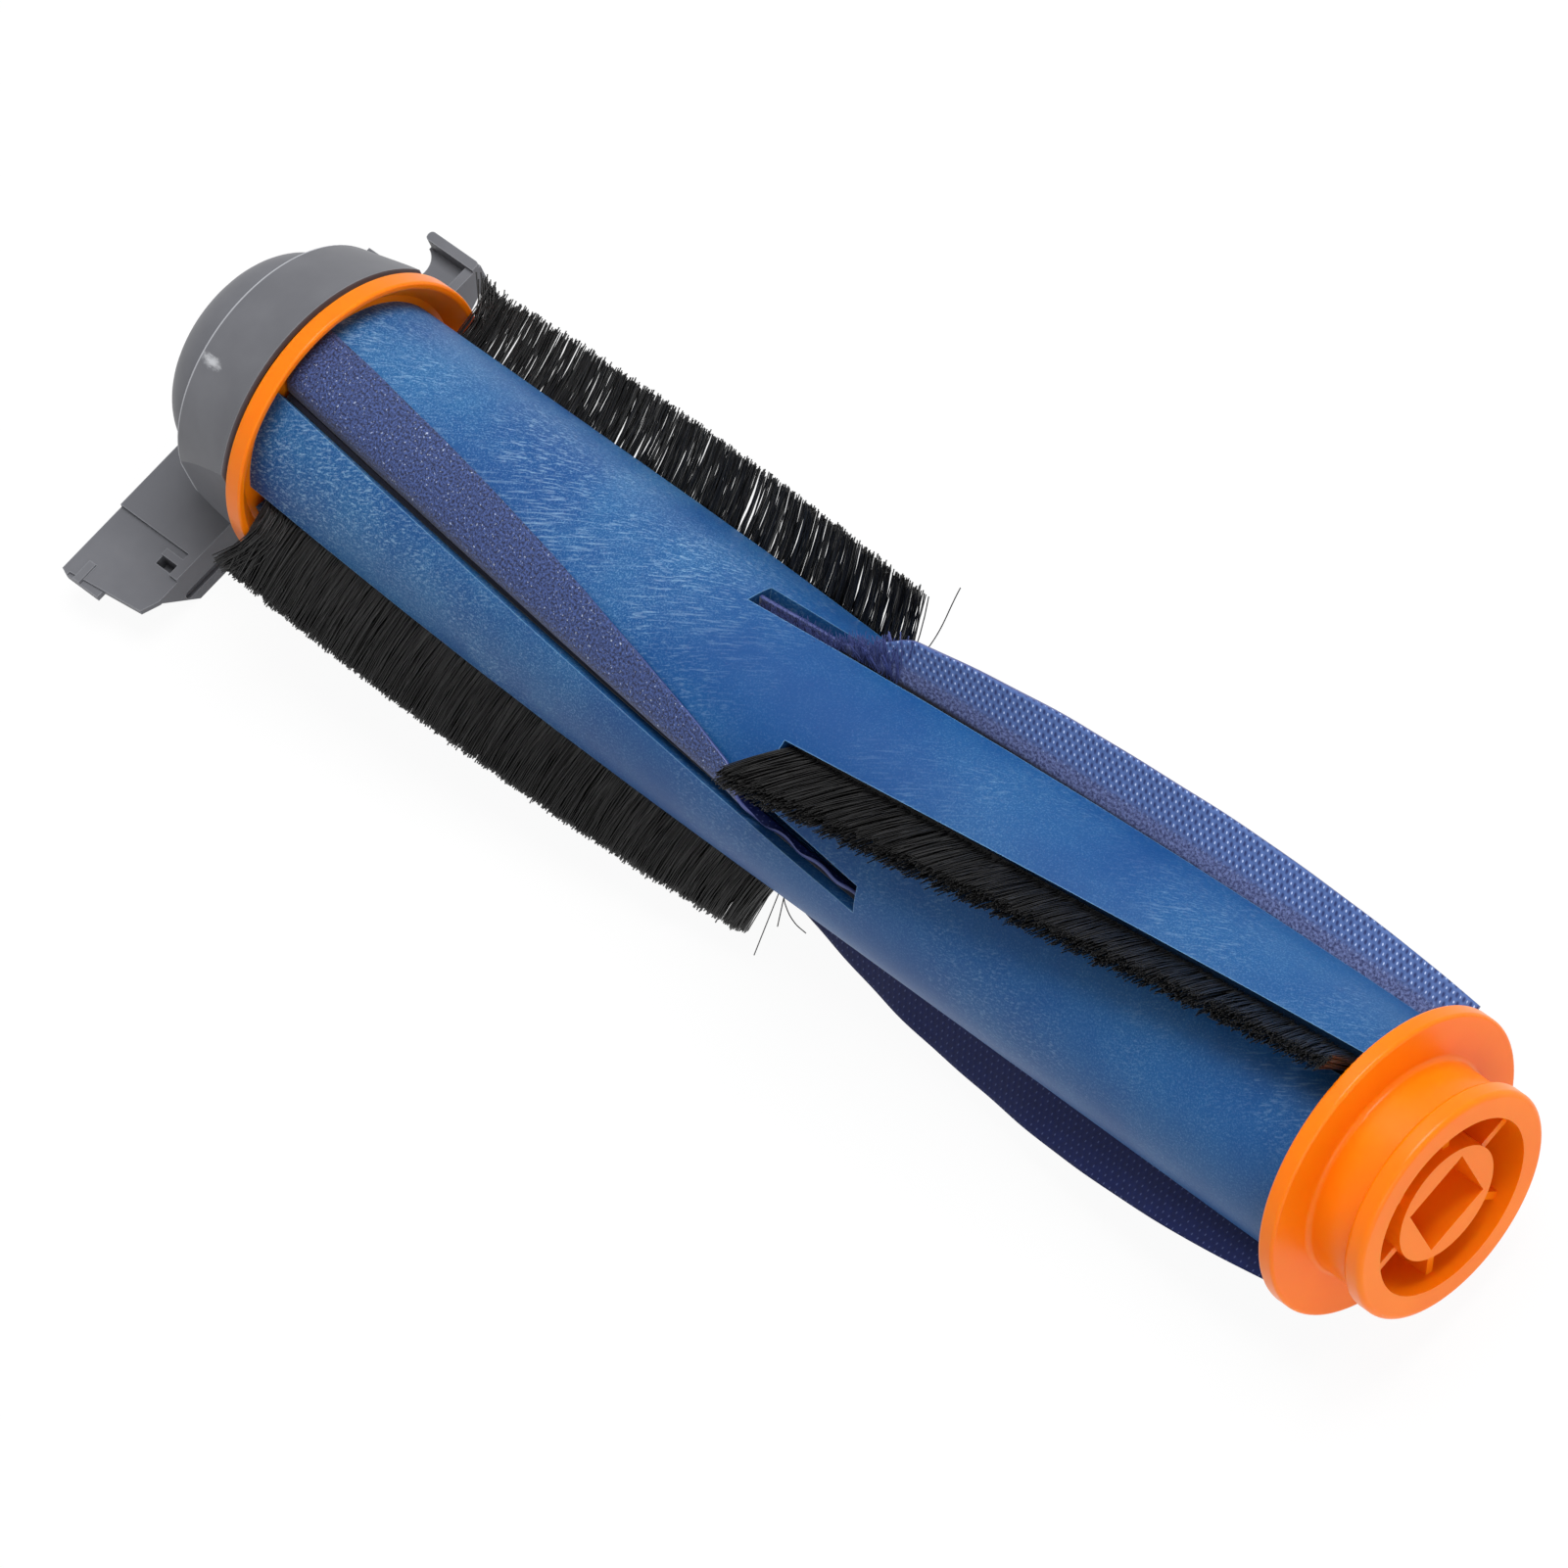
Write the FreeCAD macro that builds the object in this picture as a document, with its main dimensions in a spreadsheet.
"""Roller brush of a robot vacuum with its end bracket, as a parametric document.

Millimetres. +X runs along the roller's axis towards the drive end, +Z is up. The origin is on the
axis, at the mouth of the square drive socket. The pieces of the roller are drawn along a local z
axis and then turned so that local z becomes +X, local x becomes +Y and local y becomes +Z.
"""
import FreeCAD
import Part
import Sketcher
import math
import os
from FreeCAD import Placement, Rotation, Vector

SIZES = [
    # roller tube and its undercut slots
    ("tube_length", 199.1), ("tube_radius", 18.5), ("slot_floor_wall", 2.2), ("slot_mouth", 4.5),
    ("slot_pocket", 6.2), ("slot_depth", 5.3), ("slot_lip", 2.7), ("slot_overrun", 20.0),
    ("helix_pitch", 1000.0), ("first_row_angle", 25.5), ("pair_angle", 63.0), ("half_angle", 90.0),
    ("cut_margin", 1.0),
    # strips in the slots
    ("strip_clearance", 0.15), ("idler_end_gap", 3.4), ("drive_end_gap", 0.3), ("flap_end_gap", 0.8),
    ("bristle_thickness", 3.0),
    ("bristle_foot_fit", 0.03), ("bristle_reach", 8.9), ("bristle_lean_angle", 11.5), ("pressed_rise", 3.0),
    ("pressed_reach_angle", 31.0), ("flap_thickness", 0.9), ("folded_width", 9.3), ("crown_width", 7.6),
    ("crown_end_width", 5.2), ("flap_fold_clearance", 0.35), ("flap_rod_radius", 1.05),
    # drive cap
    ("drive_seat", 12.0), ("flange_reach", 4.6), ("flange_thickness", 2.6), ("spigot_length", 12.0),
    ("spigot_clearance", 0.05), ("spigot_wall", 2.0), ("collar_radius", 17.45), ("collar_lip", 1.25),
    ("collar_width", 3.2), ("collar_face", 1.0), ("cup_wall", 2.6), ("cup_depth", 9.5),
    ("boss_radius", 8.85), ("socket_side", 10.6), ("socket_depth", 9.0), ("socket_turn", 4.5),
    ("spoke_thickness", 1.2), ("spoke_recess", 1.4), ("spoke_sink", 0.4), ("web_thickness", 2.0),
    ("rim_round", 0.5), ("collar_round", 0.8),
    # idler cap and its axle
    ("rim_thickness", 2.7), ("rim_forward", 2.8), ("rim_width", 1.0), ("dish_root", 1.0),
    ("axle_radius", 3.0), ("axle_fit", 0.02), ("axle_hub_wall", 2.4), ("axle_inset", 1.0), ("axle_tail", 3.1),
    ("shoulder_radius", 4.4), ("shoulder_length", 3.4), ("clip_thickness", 0.8), ("clip_radius", 4.4),
    ("clip_groove_depth", 0.5), ("clip_gap", 2.6),
    # ball bearing
    ("bearing_width", 5.0), ("bearing_radius", 7.5), ("bearing_fit", 0.02), ("inner_race_radius", 4.6),
    ("outer_race_bore", 5.9), ("ball_radius", 1.2), ("ball_pitch_radius", 5.25), ("ball_play", 0.05),
    ("cage_width", 3.2), ("cage_wall", 0.9), ("ball_count", 7),
    # bracket housing
    ("housing_gap", 0.85), ("housing_cover", 0.2), ("housing_taper", 2.7), ("housing_length", 12.05),
    ("housing_side_cut", 3.0), ("housing_wall", 2.0), ("mouth_land", 1.2), ("base_overlap", 1.0),
    ("dome_step", 3.3), ("dome_length", 9.0), ("dome_round", 7.0), ("tower_wall", 2.3),
    ("axle_well", 4.4), ("axle_well_radius", 5.2), ("housing_edge", 0.35),
    # bracket base and wings
    ("base_forward", 0.1), ("floor_clearance", 0.2), ("base_height", 7.5), ("plate_thickness", 1.8),
    ("base_depth", 16.0), ("wall", 1.6), ("plate_left", 25.5), ("plate_right", 26.5), ("left_tip", 36.2),
    ("right_tip", 33.8), ("foot_left", 27.8), ("foot_right", 27.2), ("tab_step", 0.6), ("tab_thickness", 0.9),
    ("tip_slant", 1.6), ("tip_bevel", 1.2), ("near_tip", 33.45), ("left_wall_end", 29.6),
    ("ledge_reach", 2.0), ("ledge_length", 7.6), ("ledge_thickness", 1.6), ("ledge_drop", 0.4),
    ("right_lip_rise", 0.6), ("right_lip_drop", 3.6), ("lip", 1.5), ("right_tab_width", 9.9),
    ("scoop_radius", 3.4), ("right_tab_sink", 2.2), ("window_length", 3.4), ("window_width", 1.4),
    ("window_place", 29.2), ("window_depth", 2.4), ("gusset_width", 2.6), ("gusset_place", 1.4),
    ("wing_round", 1.6), ("groove_height", 1.6), ("groove_depth", 0.7), ("groove_lift", 2.7),
    ("groove_start", 28.8), ("groove_length", 15.0), ("rib_place", 14.0), ("rib_thickness", 1.2),
    ("rib_lift", 1.0),
]

doc = FreeCAD.newDocument("roller_brush")
sheet = doc.addObject("Spreadsheet::Sheet", "sizes")
for row, (alias, number) in enumerate(SIZES, start=1):
    sheet.set(f"A{row}", alias.replace("_", " "))
    sheet.set(f"B{row}", str(number))
    sheet.setAlias(f"B{row}", alias)
doc.recompute()

ALONG_ROLLER = Rotation(Vector(1, 1, 1), 120)
NODES = []


def value(expression):
    """Number that an expression on the sheet gives."""
    return float(sheet.evalExpression(expression))


def made(kind, label, **bindings):
    """Document object whose properties are bound to the sheet."""
    obj = doc.addObject(kind, label)
    for name, expression in bindings.items():
        obj.setExpression(name, expression)
    return obj


def node(obj, label):
    """Marks an object as a finished sub-part, named as its file."""
    obj.Label = label
    NODES.append(obj)
    return obj


def laid_along_roller(obj, turn=0.0):
    """Turns a piece drawn along local z so that it lies along the roller's axis."""
    obj.Placement = Placement(Vector(), ALONG_ROLLER * Rotation(Vector(0, 0, 1), turn))
    return obj


def fix_corner(sketch, side, axis, expression, place):
    """Ties one coordinate of a side's first corner to an expression, or to the axis where it is nought."""
    if expression == "0":
        other_axis = {"DistanceX": -2, "DistanceY": -1}[axis]
        sketch.addConstraint(Sketcher.Constraint("PointOnObject", side, 1, other_axis))
        return
    index = sketch.addConstraint(Sketcher.Constraint(axis, -1, 1, side, 1, place))
    sketch.setExpression(f"Constraints[{index}]", expression)


def outline(label, corners, body=None):
    """Closed sketch of straight sides, each corner a pair of expressions."""
    sketch = (body.newObject if body else doc.addObject)("Sketcher::SketchObject", label)
    points = [Vector(value(across), value(up), 0) for across, up in corners]
    count = len(points)
    for side in range(count):
        sketch.addGeometry(Part.LineSegment(points[side], points[(side + 1) % count]))
    for side in range(count):
        sketch.addConstraint(Sketcher.Constraint("Coincident", side, 2, (side + 1) % count, 1))
    for side, (across, up) in enumerate(corners):
        fix_corner(sketch, side, "DistanceX", across, points[side].x)
        fix_corner(sketch, side, "DistanceY", up, points[side].y)
    return sketch


def on_plane(sketch, body, role):
    """Attaches a sketch to one of its body's origin planes."""
    plane = next(item for item in body.Origin.OriginFeatures if item.Role == role)
    sketch.AttachmentSupport = [(plane, "")]
    sketch.MapMode = "FlatFace"
    return sketch


def turned(label, corners):
    """Solid of revolution about local z, from corners given as radius and height."""
    sketch = outline(label + "_profile", corners)
    sketch.Placement = Placement(Vector(), Rotation(Vector(1, 0, 0), 90))
    solid = doc.addObject("Part::Revolution", label)
    solid.Source = sketch
    solid.Axis = Vector(0, 0, 1)
    solid.Angle = 360
    solid.Solid = True
    return solid


def cut(label, base, *tools):
    """Base with every tool taken away."""
    result = doc.addObject("Part::Cut", label)
    result.Base = base
    result.Tool = tools[0] if len(tools) == 1 else fused(label + "_tools", *tools)
    return result


def fused(label, *pieces):
    """Pieces joined to one solid."""
    result = doc.addObject("Part::MultiFuse", label)
    result.Shapes = list(pieces)
    return result


def box(label, x, y, z):
    """Block between pairs of expressions for its low and high faces."""
    block = made("Part::Box", label, Length=f"({x[1]}) - ({x[0]})", Width=f"({y[1]}) - ({y[0]})",
                 Height=f"({z[1]}) - ({z[0]})")
    for name, low in (("x", x[0]), ("y", y[0]), ("z", z[0])):
        block.setExpression(f".Placement.Base.{name}", low)
    return block


# Places along the roller, as expressions on the sheet
TUBE_NEAR = "-sizes.drive_seat"
TUBE_FAR = "-sizes.drive_seat - sizes.tube_length"
MIDDLE = "-sizes.drive_seat - sizes.tube_length / 2"
WEB_BACK = f"{TUBE_FAR} - sizes.web_thickness"
BEARING_FRONT = f"{WEB_BACK} - sizes.shoulder_length"
BEARING_MIDDLE = f"{BEARING_FRONT} - sizes.bearing_width / 2"
BEARING_BACK = f"{BEARING_FRONT} - sizes.bearing_width"

# Radii about the roller's axis, from the tube's radius and the collar's
SLOT_FLOOR = "(sizes.tube_radius - sizes.slot_depth)"
SLOT_SHOULDER = "(sizes.tube_radius - sizes.slot_lip)"
TUBE_BORE = f"({SLOT_FLOOR} - sizes.slot_floor_wall)"
SPIGOT_RADIUS = f"({TUBE_BORE} - sizes.spigot_clearance)"
BRISTLE_FOOT = f"({SLOT_SHOULDER} - sizes.strip_clearance + sizes.bristle_foot_fit)"
BRISTLE_TIP = "(sizes.tube_radius + sizes.bristle_reach)"
PRESSED_TIP = "(sizes.tube_radius + sizes.pressed_rise)"
FLANGE_RADIUS = "(sizes.tube_radius + sizes.flange_reach)"
DISH_ROOT = "(sizes.tube_radius + sizes.dish_root)"
HUB_RADIUS = "(sizes.collar_radius - sizes.collar_lip)"
CUP_RADIUS = f"({HUB_RADIUS} - sizes.cup_wall)"


# Strip rows: name, half of the roller, kind of strip, and the turn of the row about the axis at mid-length
def rows():
    """Eight rows, an upper and a lower one of bristles and of cloth in each half of the roller."""
    for half_index, half in enumerate(("idler", "drive")):
        for level, turn in (("upper", 0), ("lower", 180)):
            bristles = f"sizes.first_row_angle + {half_index} * sizes.half_angle + {turn}"
            cloth_turn = 180 if half == "idler" else 0
            yield f"{half}_{level}", half, "bristles", bristles
            yield f"{half}_{level}", half, "flap", f"{bristles} - sizes.pair_angle + {cloth_turn}"


def row_span(half, kind, inset="0", inner_inset="0"):
    """Where a row starts and ends along the axis, from the bracket end to the drive end."""
    overrun = "sizes.slot_overrun" if kind == "flap" else "0"
    if half == "idler":
        return f"{TUBE_FAR} + {inset}", f"{MIDDLE} + {overrun} - ({inner_inset})"
    return f"{MIDDLE} - {overrun} + {inner_inset}", f"{TUBE_NEAR} - ({inset})"


def row_angle(half, angle, place):
    """Turn of a row about the axis at a place along it: the two halves twist opposite ways."""
    sign = "+" if half == "idler" else "-"
    return f"{angle} {sign} ({place} - ({MIDDLE})) * 360 / sizes.helix_pitch"


def swept(label, half, angle, span, section):
    """Helical solid of one constant section, whose corners are distance from the axis and sideways."""
    start, end = span
    helix = made("Part::Helix", label + "_path", Pitch="sizes.helix_pitch", Height=f"({end}) - ({start})",
                 Radius="sizes.tube_radius")
    helix.LocalCoord = "Right-handed" if half == "idler" else "Left-handed"
    profile = outline(label + "_section", section)
    for piece in (helix, profile):
        piece.setExpression(".Placement.Base.z", start)
        piece.Placement.Rotation = Rotation(Vector(0, 0, 1), 1)
        piece.setExpression(".Placement.Rotation.Angle", row_angle(half, angle, start))
    solid = doc.addObject("Part::Sweep", label)
    solid.Sections = [profile]
    solid.Spine = (helix, ["Edge1"])
    solid.Solid = True
    solid.Frenet = True
    return solid


def mirrored_section(half_section):
    """Section symmetric about its middle, from the corners of one half."""
    lower = [(across, f"-({side})") for across, side in half_section]
    return lower + list(reversed(half_section))


def slot_cutter(name, half, kind, angle):
    """Undercut slot: a narrow mouth over a wide pocket, open at the tube's end."""
    start, end = row_span(half, kind, inset="-sizes.cut_margin")
    section = mirrored_section([
        (SLOT_FLOOR, "sizes.slot_pocket / 2"), (SLOT_SHOULDER, "sizes.slot_pocket / 2"),
        (SLOT_SHOULDER, "sizes.slot_mouth / 2"), ("sizes.tube_radius + sizes.cut_margin", "sizes.slot_mouth / 2"),
    ])
    return swept(f"slot_{kind}_{name}", half, angle, (start, end), section)


def roller_tube():
    """Moulded tube with helical slots that meet as chevrons at mid-length."""
    barrel = made("Part::Cylinder", "barrel", Radius="sizes.tube_radius", Height="sizes.tube_length")
    bore = made("Part::Cylinder", "barrel_bore", Radius=TUBE_BORE, Height="sizes.tube_length")
    for piece in (barrel, bore):
        piece.setExpression(".Placement.Base.z", TUBE_FAR)
    slots = [slot_cutter(*row) for row in rows()]
    return node(laid_along_roller(cut("tube", barrel, bore, *slots)), "roller_tube")


def bristle_backing(name, half, angle):
    """Flat strip in the slot's pocket that the bristles are set in."""
    span = row_span(half, "bristles", inset="sizes.strip_clearance", inner_inset="sizes.strip_clearance")
    side = "sizes.slot_pocket / 2 - sizes.strip_clearance"
    section = mirrored_section([
        (f"{SLOT_FLOOR} + sizes.strip_clearance", side), (f"{SLOT_SHOULDER} - sizes.strip_clearance", side),
    ])
    return node(laid_along_roller(swept(f"backing_{name}", half, angle, span, section)), f"bristle_backing_{name}")


def polar(radius, angle):
    """Corner at a radius and an angle from the row's middle, as a pair of expressions."""
    return f"({radius}) * cos(({angle}) * 1deg)", f"({radius}) * sin(({angle}) * 1deg)"


def standing_section():
    """Bristles that stand out of the slot and lean over one lip."""
    half = "sizes.bristle_thickness / 2"
    spread = f"sizes.bristle_thickness / {BRISTLE_TIP} * 90 / pi"
    lean = "sizes.bristle_lean_angle"
    return [(BRISTLE_FOOT, f"-({half})"), ("sizes.tube_radius", f"-({half})"),
            polar(BRISTLE_TIP, f"{lean} - {spread}"),
            polar(f"{BRISTLE_TIP} - sizes.bristle_thickness / 3", f"{lean} + {spread}"),
            ("sizes.tube_radius", half), (BRISTLE_FOOT, half)]


def pressed_section():
    """Bristles bent over flat by the roller's weight, along the tube's surface."""
    half = "sizes.bristle_thickness / 2"
    reach = "sizes.pressed_reach_angle"
    under = f"(sizes.tube_radius + {PRESSED_TIP}) / 2"
    over = [polar(PRESSED_TIP, f"{reach} * {share}") for share in (0.1, 0.4, 0.75, 1)]
    below = [polar(under, f"{reach} * {share}") for share in (0.97, 0.65, 0.35)]
    return [(BRISTLE_FOOT, f"-({half})"), ("sizes.tube_radius", f"-({half})"), *over, *below,
            ("sizes.tube_radius", half), (BRISTLE_FOOT, half)]


def bristle_row(name, half, angle):
    """Row of bristles. The row under the roller is the one that its weight presses flat."""
    span = row_span(half, "bristles", inset=f"sizes.{half}_end_gap", inner_inset="2 * sizes.strip_clearance")
    section = pressed_section() if name == "drive_lower" else standing_section()
    return node(laid_along_roller(swept(f"row_{name}", half, angle, span, section)), f"bristles_{name}")


def flap_rod(name, half, angle):
    """Round rod that the cloth flap is hemmed around, threaded into the slot's pocket."""
    start, end = row_span(half, "flap", inset="sizes.strip_clearance", inner_inset="sizes.strip_clearance")
    depth = f"({SLOT_FLOOR} + {SLOT_SHOULDER}) / 2"
    helix = made("Part::Helix", f"rod_{name}_path", Pitch="sizes.helix_pitch",
                 Height=f"({end}) - ({start})", Radius=depth)
    helix.LocalCoord = "Right-handed" if half == "idler" else "Left-handed"
    ring = made("Part::Circle", f"rod_{name}_section", Radius="sizes.flap_rod_radius")
    ring.setExpression(".Placement.Base.x", depth)
    rod = doc.addObject("Part::Sweep", f"rod_{name}")
    rod.Sections = [ring]
    rod.Spine = (helix, ["Edge1"])
    rod.Solid = True
    rod.Frenet = True
    doc.recompute()
    turn = Rotation(Vector(0, 0, 1), value(row_angle(half, angle, start)))
    rod.Placement = Placement(Vector(value(start), 0, 0), ALONG_ROLLER * turn)
    return node(rod, f"flap_rod_{name}")


def folded_width(share):
    """Free width of a folded flap at a share of its length: full at the tube's end, almost nothing inside."""
    taper_power = 2.3
    least = 0.06
    return value("sizes.folded_width") * max(1.0 - share ** taper_power, least)


def crowned_width(share):
    """Free width of a standing flap, bowed: least at the slot's closed end and some way down at the tube's end."""
    crown = 0.45
    bow_power = 3.1
    least = 0.06
    end_drop = 1.0 - value("sizes.crown_end_width / sizes.crown_width")
    drop = end_drop * (1 - share / crown) ** 2 if share < crown else ((share - crown) / (1 - crown)) ** bow_power
    return value("sizes.crown_width") * max(1.0 - drop, least)


def standing_flap(width):
    """Section of a flap that stands straight out of its slot, as distances and angles."""
    root = value(SLOT_SHOULDER)
    tip = value("sizes.tube_radius") + width
    half = value("sizes.flap_thickness") / 2
    return [Vector(root, -half, 0), Vector(tip, -half, 0), Vector(tip, half, 0), Vector(root, half, 0)]


def arc_point(radius, angle):
    """Point at a radius and an angle, in radians, from the row's middle."""
    return Vector(radius * math.cos(angle), radius * math.sin(angle), 0)


def folded_flap(width):
    """Section of a flap that comes out of its slot and lies back along the tube's surface."""
    root = value(SLOT_SHOULDER)
    thick = value("sizes.flap_thickness")
    inner = value("sizes.tube_radius + sizes.flap_fold_clearance")
    steps = 4
    neck = thick / 2 / inner
    end = -max(width, 1.5 * thick) / inner
    over = [arc_point(inner + thick, neck + (end - neck) * k / steps) for k in range(steps + 1)]
    under = [arc_point(inner, end + (-neck - end) * k / steps) for k in range(steps + 1)]
    return [Vector(root, thick / 2, 0)] + over + under + [Vector(root, -thick / 2, 0)]


def cloth_flap(name, half, angle):
    """Cloth flap whose free edge narrows in a curve towards the middle of the roller."""
    inset = "sizes.flap_end_gap" if half == "idler" else "sizes.drive_end_gap"
    span = row_span(half, "flap", inset=inset, inner_inset="2 * sizes.strip_clearance")
    start, end = (value(item) for item in span)
    section = folded_flap if half == "idler" else standing_flap
    width = folded_width if half == "idler" else crowned_width
    stations = 11
    wires = []
    for k in range(stations):
        place = start + (end - start) * k / (stations - 1)
        share = k / (stations - 1) if half == "idler" else 1 - k / (stations - 1)
        wire = Part.makePolygon(section(width(share)), True)
        turn = Rotation(Vector(0, 0, 1), value(row_angle(half, angle, f"({place})")))
        wire.Placement = Placement(Vector(0, 0, place), turn)
        wires.append(wire)
    flap = doc.addObject("Part::Feature", f"cloth_{name}")
    flap.Shape = Part.makeLoft(wires, True, False)
    return node(laid_along_roller(flap), f"flap_{name}")


def round_edges(body, label, radius, wanted):
    """Rounds the edges of a body's tip that a test picks out."""
    doc.recompute()
    tip = body.Tip
    names = [f"Edge{k}" for k, edge in enumerate(tip.Shape.Edges, start=1) if wanted(edge)]
    fillet = body.newObject("PartDesign::Fillet", label)
    fillet.Base = (tip, names)
    fillet.setExpression("Radius", radius)
    doc.recompute()
    return fillet


def circle_at(radius, height):
    """Test for a full round edge of a radius at a height on local z."""
    def wanted(edge):
        curve = edge.Curve
        return (isinstance(curve, Part.Circle) and abs(curve.Radius - value(radius)) < 1e-4
                and abs(curve.Center.z - value(height)) < 1e-4)
    return wanted


def revolved_body(label, corners):
    """Body made by turning a profile about its own z axis."""
    body = doc.addObject("PartDesign::Body", label)
    sketch = on_plane(outline(label + "_profile", corners, body), body, "XZ_Plane")
    turn = body.newObject("PartDesign::Revolution", label + "_turn")
    turn.Profile = sketch
    turn.ReferenceAxis = (sketch, ["V_Axis"])
    turn.Angle = 360
    doc.recompute()
    return body


def drive_end_cap():
    """Orange cap with flange, grooved collar, spoked cup and square drive socket."""
    face = f"{TUBE_NEAR} + sizes.flange_thickness"
    collar_back = "sizes.collar_face - sizes.collar_width"
    web_inside = f"{TUBE_NEAR} - sizes.web_thickness"
    spigot_end = f"{TUBE_NEAR} - sizes.spigot_length"
    spigot_inside = f"{SPIGOT_RADIUS} - sizes.spigot_wall"
    cup_floor = "-sizes.cup_depth"
    body = revolved_body("drive_cap", [
        ("0", web_inside), (spigot_inside, web_inside), (spigot_inside, spigot_end), (SPIGOT_RADIUS, spigot_end),
        (SPIGOT_RADIUS, TUBE_NEAR), (FLANGE_RADIUS, TUBE_NEAR), (FLANGE_RADIUS, face),
        (HUB_RADIUS, face), (HUB_RADIUS, collar_back), ("sizes.collar_radius", collar_back),
        ("sizes.collar_radius", "sizes.collar_face"), (CUP_RADIUS, "sizes.collar_face"),
        (CUP_RADIUS, cup_floor), ("sizes.boss_radius", cup_floor), ("sizes.boss_radius", "0"), ("0", "0")])
    reach = "sizes.socket_side / 2"
    square = on_plane(outline("socket_square", [(f"-{reach}", f"-{reach}"), (reach, f"-{reach}"), (reach, reach),
                                                (f"-{reach}", reach)], body), body, "XY_Plane")
    before = body.Tip.Shape.Volume
    socket = body.newObject("PartDesign::Pocket", "drive_socket")
    socket.Profile = square
    socket.setExpression("Length", "sizes.socket_depth")
    doc.recompute()
    assert before - socket.Shape.Volume > 0.9 * value("sizes.socket_side ^ 2 * sizes.socket_depth")
    spoke_side = "sizes.spoke_thickness / 2"
    inside, outside = "sizes.boss_radius - sizes.spoke_sink", f"{CUP_RADIUS} + sizes.spoke_sink"
    strip = on_plane(outline("spoke_strip", [(inside, f"-{spoke_side}"), (outside, f"-{spoke_side}"),
                                             (outside, spoke_side), (inside, spoke_side)], body), body, "XY_Plane")
    strip.setExpression(".AttachmentOffset.Base.z", cup_floor)
    spoke = body.newObject("PartDesign::Pad", "spoke")
    spoke.Profile = strip
    spoke.setExpression("Length", "sizes.cup_depth - sizes.spoke_recess")
    doc.recompute()
    spokes = body.newObject("PartDesign::PolarPattern", "spokes")
    spokes.Originals = [spoke]
    spokes.Axis = (strip, ["N_Axis"])
    spokes.Angle = 360
    spokes.Occurrences = 6
    body.Tip = spokes
    doc.recompute()
    rims = [circle_at(FLANGE_RADIUS, TUBE_NEAR), circle_at(FLANGE_RADIUS, face)]
    round_edges(body, "flange_rounds", "sizes.rim_round", lambda edge: any(test(edge) for test in rims))
    collar = [circle_at("sizes.collar_radius", "sizes.collar_face"), circle_at("sizes.collar_radius", collar_back),
              circle_at(HUB_RADIUS, face)]
    round_edges(body, "collar_rounds", "sizes.collar_round", lambda edge: any(test(edge) for test in collar))
    return node(laid_along_roller(body, value("sizes.socket_turn")), "drive_end_cap")


def idler_end_cap():
    """Orange cap with a dished flange, a hub for the axle and a shoulder for the bearing."""
    rim_front = f"{TUBE_FAR} + sizes.rim_forward"
    rim_back = f"{rim_front} - sizes.rim_thickness"
    spigot_end = f"{TUBE_FAR} + sizes.spigot_length"
    hole = "sizes.axle_radius + sizes.axle_fit"
    hub = "sizes.axle_radius + sizes.axle_hub_wall"
    pocket = f"{TUBE_FAR} + sizes.web_thickness"
    inside = f"{SPIGOT_RADIUS} - sizes.spigot_wall"
    rim_inside = f"{FLANGE_RADIUS} - sizes.rim_width"
    body = revolved_body("idler_cap", [
        (hole, BEARING_FRONT), ("sizes.shoulder_radius", BEARING_FRONT), ("sizes.shoulder_radius", WEB_BACK),
        (DISH_ROOT, WEB_BACK), (f"{FLANGE_RADIUS} - sizes.rim_width * 0.7", rim_back),
        (FLANGE_RADIUS, rim_back), (FLANGE_RADIUS, rim_front),
        (rim_inside, rim_front), (DISH_ROOT, TUBE_FAR), (SPIGOT_RADIUS, TUBE_FAR),
        (SPIGOT_RADIUS, spigot_end), (inside, spigot_end), (inside, pocket), (hub, pocket), (hub, spigot_end),
        (hole, spigot_end)])
    rims = [circle_at(FLANGE_RADIUS, rim_front), circle_at(rim_inside, rim_front)]
    round_edges(body, "idler_cap_rounds", "sizes.rim_width * 0.4", lambda edge: any(test(edge) for test in rims))
    return node(laid_along_roller(body), "idler_end_cap")


def stub_axle():
    """Steel axle pressed in the idler cap, with a groove for its retaining clip."""
    front = f"{TUBE_FAR} + sizes.spigot_length - sizes.axle_inset"
    back = f"{BEARING_BACK} - sizes.axle_tail"
    groove_front = f"{BEARING_BACK} - sizes.clip_thickness / 4"
    groove_back = f"{groove_front} - sizes.clip_thickness * 1.15"
    groove = "sizes.axle_radius - sizes.clip_groove_depth"
    bevel = "sizes.axle_radius * 0.85"
    axle = turned("axle", [
        ("0", front), ("sizes.axle_radius", front), ("sizes.axle_radius", groove_front), (groove, groove_front),
        (groove, groove_back), ("sizes.axle_radius", groove_back),
        ("sizes.axle_radius", f"{back} + sizes.axle_radius * 0.15"), (bevel, back), ("0", back)])
    return node(laid_along_roller(axle), "stub_axle")


def axle_clip():
    """Open spring ring in the axle's groove, behind the bearing."""
    inner = "sizes.axle_radius - sizes.clip_groove_depth + sizes.axle_fit"
    front = f"{BEARING_BACK} - sizes.clip_thickness * 0.325"
    back = f"{front} - sizes.clip_thickness"
    outer = "sizes.clip_radius"
    ring = turned("clip_ring", [(inner, front), (outer, front), (outer, back), (inner, back)])
    opening = box("clip_opening", ("0", "2 * sizes.clip_radius"), ("-sizes.clip_gap / 2", "sizes.clip_gap / 2"),
                  (f"{back} - sizes.cut_margin", f"{front} + sizes.cut_margin"))
    return node(laid_along_roller(cut("clip", ring, opening)), "axle_clip")


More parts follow.
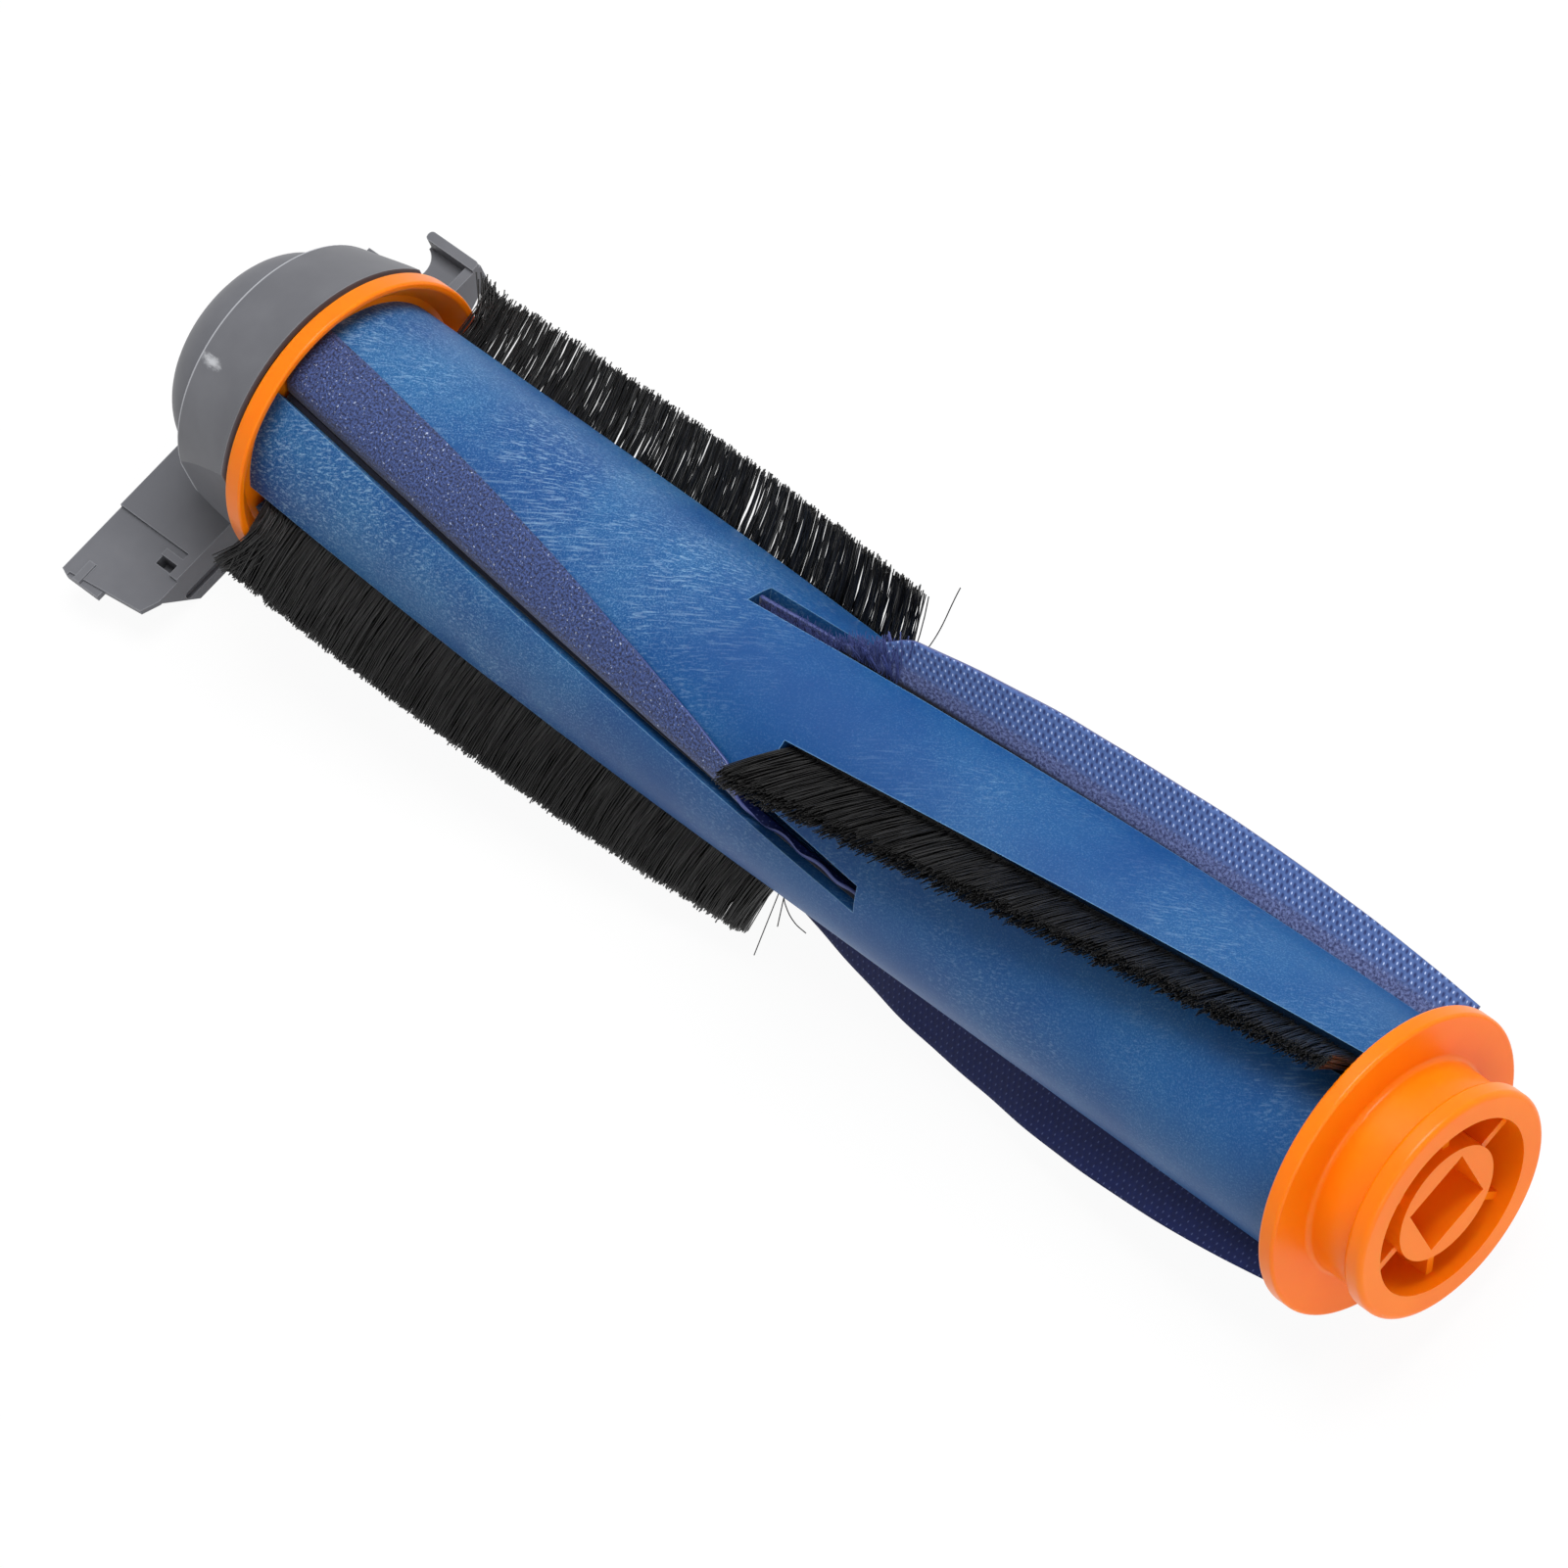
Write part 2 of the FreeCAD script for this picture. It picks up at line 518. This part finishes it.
def race(label, inner, outer):
    """Bearing ring with a groove for the balls."""
    ring = turned(label + "_ring", [(inner, BEARING_FRONT), (outer, BEARING_FRONT), (outer, BEARING_BACK),
                                    (inner, BEARING_BACK)])
    groove = made("Part::Torus", label + "_groove", Radius1="sizes.ball_pitch_radius",
                  Radius2="sizes.ball_radius + sizes.ball_play")
    groove.setExpression(".Placement.Base.z", BEARING_MIDDLE)
    return node(laid_along_roller(cut(label, ring, groove)), f"bearing_{label}")


def ball_turns():
    """Even turns about the axis, one for each ball."""
    count = int(value("sizes.ball_count"))
    return [360 * k / count for k in range(count)]


def ball(turn):
    """Ball on the pitch circle."""
    sphere = made("Part::Sphere", "ball", Radius="sizes.ball_radius")
    sphere.setExpression(".Placement.Base.x", f"sizes.ball_pitch_radius * cos({turn} * 1deg)")
    sphere.setExpression(".Placement.Base.y", f"sizes.ball_pitch_radius * sin({turn} * 1deg)")
    sphere.setExpression(".Placement.Base.z", BEARING_MIDDLE)
    return sphere


def ball_pocket(turn):
    """Round hole through the cage's wall for one ball."""
    hole = made("Part::Cylinder", "pocket", Radius="sizes.ball_radius + sizes.ball_play",
                Height="sizes.bearing_radius")
    outward = Rotation(Vector(0, 0, 1), turn) * Rotation(Vector(0, 1, 0), 90)
    hole.Placement = Placement(Vector(), outward)
    hole.setExpression(".Placement.Base.z", BEARING_MIDDLE)
    return hole


def bearing():
    """Ball bearing: inner ring on the axle, outer ring in the bracket, balls in a cage between."""
    race("inner_race", "sizes.axle_radius + sizes.axle_fit", "sizes.inner_race_radius")
    race("outer_race", "sizes.outer_race_bore", "sizes.bearing_radius - sizes.bearing_fit")
    balls = doc.addObject("Part::Compound", "balls")
    balls.Links = [ball(turn) for turn in ball_turns()]
    node(laid_along_roller(balls), "bearing_balls")
    front = f"{BEARING_MIDDLE} + sizes.cage_width / 2"
    back = f"{BEARING_MIDDLE} - sizes.cage_width / 2"
    low = "sizes.ball_pitch_radius - sizes.cage_wall / 2"
    high = "sizes.ball_pitch_radius + sizes.cage_wall / 2"
    ring = turned("cage_ring", [(low, front), (high, front), (high, back), (low, back)])
    pockets = [ball_pocket(turn) for turn in ball_turns()]
    node(laid_along_roller(cut("cage", ring, *pockets)), "bearing_cage")


# Places on the bracket, as expressions on the sheet
HOUSING_FRONT = f"{TUBE_FAR} + sizes.rim_forward - sizes.rim_thickness - sizes.housing_gap"
HOUSING_BACK = f"{HOUSING_FRONT} - sizes.housing_length"
BASE_NEAR = f"{HOUSING_BACK} + sizes.base_forward"
BASE_FAR = f"{BASE_NEAR} - sizes.base_depth"
WALL_NEAR = f"{BASE_NEAR} - sizes.wall"
WALL_FAR = f"{BASE_FAR} + sizes.wall"
HOUSING_RADIUS = f"({FLANGE_RADIUS} + sizes.housing_cover)"
HOUSING_BACK_RADIUS = f"({HOUSING_RADIUS} - sizes.housing_taper)"
DOME_RADIUS = f"({HOUSING_BACK_RADIUS} - sizes.dome_step)"
FLOOR = f"(-{FLANGE_RADIUS} - sizes.floor_clearance)"
PLATE_TOP = f"({FLOOR} + sizes.base_height)"
TAB_TOP = f"({PLATE_TOP} - sizes.tab_step)"


def bracket_housing():
    """Tapered cup over the idler end, with a domed back and a tower that seats the bearing."""
    dome_back = f"{HOUSING_BACK} - sizes.dome_length"
    seat = "sizes.bearing_radius"
    tower = "sizes.bearing_radius + sizes.tower_wall"
    tower_front = f"{BEARING_FRONT} + sizes.ball_play"
    well_floor = f"{BEARING_BACK} - sizes.axle_well"
    cavity_floor = f"{dome_back} + sizes.housing_wall * 1.5"
    cavity_side = f"{DOME_RADIUS} - sizes.housing_wall"
    back_inside = f"{HOUSING_BACK} + sizes.housing_wall"
    mouth_depth = f"{HOUSING_FRONT} - sizes.web_thickness * 1.3"
    body = revolved_body("housing", [
        (HOUSING_RADIUS, HOUSING_FRONT), (HOUSING_BACK_RADIUS, HOUSING_BACK), (DOME_RADIUS, HOUSING_BACK),
        (DOME_RADIUS, dome_back), ("0", dome_back), ("0", well_floor), ("sizes.axle_well_radius", well_floor),
        ("sizes.axle_well_radius", BEARING_BACK), (seat, BEARING_BACK), (seat, tower_front), (tower, tower_front),
        (tower, cavity_floor), (f"{cavity_side} - sizes.dome_round * 0.3", cavity_floor),
        (cavity_side, f"{dome_back} + sizes.dome_round"), (cavity_side, back_inside),
        (f"{HOUSING_BACK_RADIUS} - sizes.housing_wall", back_inside),
        (f"{DISH_ROOT} + sizes.housing_wall * 0.35", mouth_depth),
        (f"{HOUSING_RADIUS} - sizes.mouth_land", HOUSING_FRONT)])
    round_edges(body, "housing_edge_round", "sizes.housing_edge", circle_at(HOUSING_BACK_RADIUS, HOUSING_BACK))
    round_edges(body, "dome_round_edge", "sizes.dome_round", circle_at(DOME_RADIUS, dome_back))
    body.Placement = Placement(Vector(), ALONG_ROLLER)
    reach = f"2 * {HOUSING_RADIUS}"
    flat = f"({HOUSING_RADIUS} - sizes.housing_side_cut)"
    spans = {"left": (f"-{reach}", f"-{flat}"), "right": (flat, reach)}
    along = (f"{HOUSING_BACK} - sizes.cut_margin", f"{HOUSING_FRONT} + sizes.cut_margin")
    sides = [box(f"housing_side_{name}", along, span, (f"-{reach}", reach)) for name, span in spans.items()]
    return cut("housing_flats", body, *sides)


def slab(label, corners, axis, low, high):
    """Straight-sided plate: drawn in Y and Z and thick along x, or drawn in X and Y and thick along z."""
    sketch = outline(label + "_outline", corners)
    sketch.Placement = Placement(Vector(), {"x": ALONG_ROLLER, "z": Rotation()}[axis])
    sketch.setExpression(f".Placement.Base.{axis}", low)
    wall = doc.addObject("Part::Extrusion", label)
    wall.Base = sketch
    wall.DirMode = "Normal"
    wall.setExpression("LengthFwd", f"({high}) - ({low})")
    wall.Solid = True
    return wall


def base_walls():
    """Front and back walls of the base, with feet on the floor and edges that rise to the wing tips."""
    left_tip_bottom = f"{TAB_TOP} - sizes.tab_step"
    right_bottom = f"{PLATE_TOP} - sizes.right_lip_drop"
    near = slab("near_wall", [
        ("-sizes.near_tip", TAB_TOP), ("-sizes.near_tip", left_tip_bottom), ("-sizes.foot_left", FLOOR),
        ("sizes.foot_right", FLOOR), ("sizes.right_tip", right_bottom), ("sizes.right_tip", PLATE_TOP),
        ("-sizes.left_wall_end", PLATE_TOP), ("-sizes.left_wall_end", TAB_TOP)], "x", WALL_NEAR, BASE_NEAR)
    far = slab("far_wall", [
        ("-sizes.left_tip", TAB_TOP), ("-sizes.left_tip", left_tip_bottom),
        ("-sizes.foot_left", FLOOR), ("sizes.plate_right - sizes.wall", FLOOR),
        ("sizes.plate_right", right_bottom), ("sizes.plate_right", PLATE_TOP), ("-sizes.plate_left", PLATE_TOP),
        ("-sizes.plate_left", TAB_TOP)], "x", BASE_FAR, WALL_FAR)
    return [near, far]


def base_plate():
    """Top plate of the base with the lower left tab and two ribs underneath."""
    under = f"{PLATE_TOP} - sizes.plate_thickness"
    plate = box("plate", (BASE_FAR, BASE_NEAR), ("-sizes.plate_left", "sizes.plate_right"), (under, PLATE_TOP))
    tab_under = f"{TAB_TOP} - sizes.tab_thickness"
    tab = slab("left_tab", [
        (BASE_FAR, "-sizes.plate_left"), (BASE_FAR, "-sizes.left_tip - sizes.tip_slant"),
        (f"{BASE_NEAR} - sizes.tip_bevel", "-sizes.left_tip"), (BASE_NEAR, "-sizes.near_tip"),
        (BASE_NEAR, "-sizes.plate_left")], "z", tab_under, TAB_TOP)
    ribs = [box(f"rib_{name}", (WALL_FAR, WALL_NEAR), (f"{place} - sizes.rib_thickness / 2",
                                                      f"{place} + sizes.rib_thickness / 2"),
                (f"{FLOOR} + sizes.rib_lift", under))
            for name, place in (("left", "-sizes.rib_place"), ("right", "sizes.rib_place"))]
    return [plate, tab, *ribs, *window_surround()]


def window_surround():
    """Block under the left tab that closes the window's foot, and a rib along the window's inner side."""
    far = f"{WALL_NEAR} - sizes.window_length"
    outer, inner = "-sizes.window_place - sizes.wall", "-sizes.window_place + sizes.window_width"
    foot = f"{TAB_TOP} - 2 * sizes.window_depth"
    block = slab("window_block", [
        (outer, TAB_TOP), (outer, f"{TAB_TOP} - sizes.window_depth"), ("-sizes.foot_left", foot),
        ("-sizes.plate_left", foot), ("-sizes.plate_left", TAB_TOP)], "x", f"{far} - sizes.wall", WALL_NEAR)
    rib = box("window_rib", (far, WALL_NEAR), (inner, f"{inner} + sizes.wall * 0.75"),
              (f"{TAB_TOP} - sizes.tab_thickness", PLATE_TOP))
    return [block, rib]


def rounded(label, base, radius, wanted):
    """Base with the edges that a test picks out rounded."""
    doc.recompute()
    size = value(radius)
    fillet = doc.addObject("Part::Fillet", label)
    fillet.Base = base
    fillet.Edges = [(k, size, size) for k, edge in enumerate(base.Shape.Edges, start=1) if wanted(edge)]
    return fillet


def upright_at(x, y):
    """Test for an upright edge at a place in plan."""
    def wanted(edge):
        ends = [vertex.Point for vertex in edge.Vertexes]
        return all(math.hypot(end.x - value(x), end.y - value(y)) < 1e-4 for end in ends)
    return wanted


def left_wing_tip():
    """Ledge that hooks out past the left tab's end over its far half, with a gusset on top."""
    out, root = "-sizes.left_tip - sizes.ledge_reach", "-sizes.left_tip + sizes.wall"
    low = f"({TAB_TOP} - sizes.tab_thickness - sizes.ledge_drop)"
    near = f"{BASE_FAR} + sizes.ledge_length"
    ledge = box("ledge", (BASE_FAR, near), (out, root), (low, f"{low} + sizes.ledge_thickness * 0.6"))
    lip = box("ledge_lip", (BASE_FAR, f"{BASE_FAR} + sizes.gusset_place"), (out, root), (low, TAB_TOP))
    gusset_far = f"{BASE_FAR} + sizes.gusset_place + sizes.gusset_width / 2"
    gusset = box("ledge_gusset", (gusset_far, f"{gusset_far} + sizes.gusset_width / 2"), (out, root),
                 (low, f"{low} + sizes.ledge_thickness"))
    far_corner = upright_at(BASE_FAR, out)
    return [rounded("ledge_rounded", ledge, "sizes.wing_round * 0.8", far_corner),
            rounded("ledge_lip_rounded", lip, "sizes.wing_round * 0.8", far_corner), gusset]


def right_wing_tip():
    """Raised lip along the right tab's end and the sunk floor inside it."""
    far = f"{BASE_NEAR} - sizes.right_tab_width"
    inner = "sizes.right_tip - sizes.lip"
    lip = box("right_lip", (far, BASE_NEAR), (inner, "sizes.right_tip"),
              (f"{PLATE_TOP} - sizes.right_lip_drop", f"{PLATE_TOP} + sizes.right_lip_rise"))
    floor_top = f"{PLATE_TOP} - sizes.right_tab_sink"
    floor = box("right_tab", (far, BASE_NEAR), ("sizes.plate_right - sizes.wall", "sizes.right_tip"),
                (f"{floor_top} - sizes.plate_thickness * 0.75", floor_top))
    near_corner = upright_at(BASE_NEAR, "sizes.right_tip")
    return [rounded("right_lip_rounded", lip, "sizes.lip * 0.45",
                    lambda edge: upright_at(far, inner)(edge) or upright_at(far, "sizes.right_tip")(edge)
                    or near_corner(edge)),
            rounded("right_tab_rounded", floor, "sizes.lip * 0.45", near_corner)]


def wing_cuts():
    """Window of the left wing, scoop of the right wing, and the round-ended groove along the near wall."""
    window = box("window", (f"{WALL_NEAR} - sizes.window_length", WALL_NEAR),
                 ("-sizes.window_place", "-sizes.window_place + sizes.window_width"),
                 (f"{TAB_TOP} - sizes.window_depth", f"{PLATE_TOP} + sizes.cut_margin"))
    scoop = made("Part::Cylinder", "scoop", Radius="sizes.scoop_radius", Height=f"-2 * {FLOOR}")
    scoop.setExpression(".Placement.Base.x", f"{BASE_NEAR} - sizes.right_tab_width - sizes.scoop_radius * 0.35")
    scoop.setExpression(".Placement.Base.y", "sizes.right_tip - sizes.lip - sizes.scoop_radius")
    scoop.setExpression(".Placement.Base.z", f"2 * {FLOOR}")
    inside, outside = f"{BASE_NEAR} - sizes.groove_depth", f"{BASE_NEAR} + sizes.cut_margin"
    half = "sizes.groove_height / 2"
    level = f"{FLOOR} + sizes.groove_lift"
    groove = box("groove", (inside, outside), ("-sizes.groove_start", "-sizes.groove_start + sizes.groove_length"),
                 (f"{level} - {half}", f"{level} + {half}"))
    end = made("Part::Cylinder", "groove_end", Radius=half, Height=f"({outside}) - ({inside})")
    end.Placement = Placement(Vector(), ALONG_ROLLER)
    for name, place in (("x", inside), ("y", "-sizes.groove_start"), ("z", level)):
        end.setExpression(f".Placement.Base.{name}", place)
    return [window, scoop, groove, end]


def end_bracket():
    """Grey end bracket: tapered housing and winged base in one moulding."""
    base = cut("base", fused("base_solid", *base_walls(), *base_plate(), *left_wing_tip(), *right_wing_tip()),
               *wing_cuts())
    inside = made("Part::Cylinder", "housing_inside", Radius=f"{DOME_RADIUS} - sizes.base_overlap",
                  Height="sizes.housing_length")
    inside.Placement = Placement(Vector(), ALONG_ROLLER)
    inside.setExpression(".Placement.Base.x", HOUSING_BACK)
    return node(fused("bracket", bracket_housing(), cut("base_clear", base, inside)), "end_bracket")


roller_tube()
for name, half, kind, angle in rows():
    if kind == "bristles":
        bristle_backing(name, half, angle)
        bristle_row(name, half, angle)
    else:
        flap_rod(name, half, angle)
        cloth_flap(name, half, angle)
drive_end_cap()
idler_end_cap()
stub_axle()
axle_clip()
bearing()
end_bracket()
doc.recompute()

for obj in doc.Objects:
    if "Invalid" in obj.State or "Error" in obj.State:
        raise RuntimeError(f"{obj.Label} failed: {obj.State}")
for obj in NODES:
    if obj.Shape.isNull() or not obj.Shape.isValid():
        raise RuntimeError(f"{obj.Label} has no valid shape")

os.makedirs("parts", exist_ok=True)
for obj in NODES:
    obj.Shape.exportStep(f"parts/{obj.Label}.step")
    box_size = obj.Shape.BoundBox
    print(f"{obj.Label}: {len(obj.Shape.Solids)} solids, {obj.Shape.Volume:.0f} mm3, "
          f"x {box_size.XMin:.1f}..{box_size.XMax:.1f} y {box_size.YMin:.1f}..{box_size.YMax:.1f} "
          f"z {box_size.ZMin:.1f}..{box_size.ZMax:.1f}")
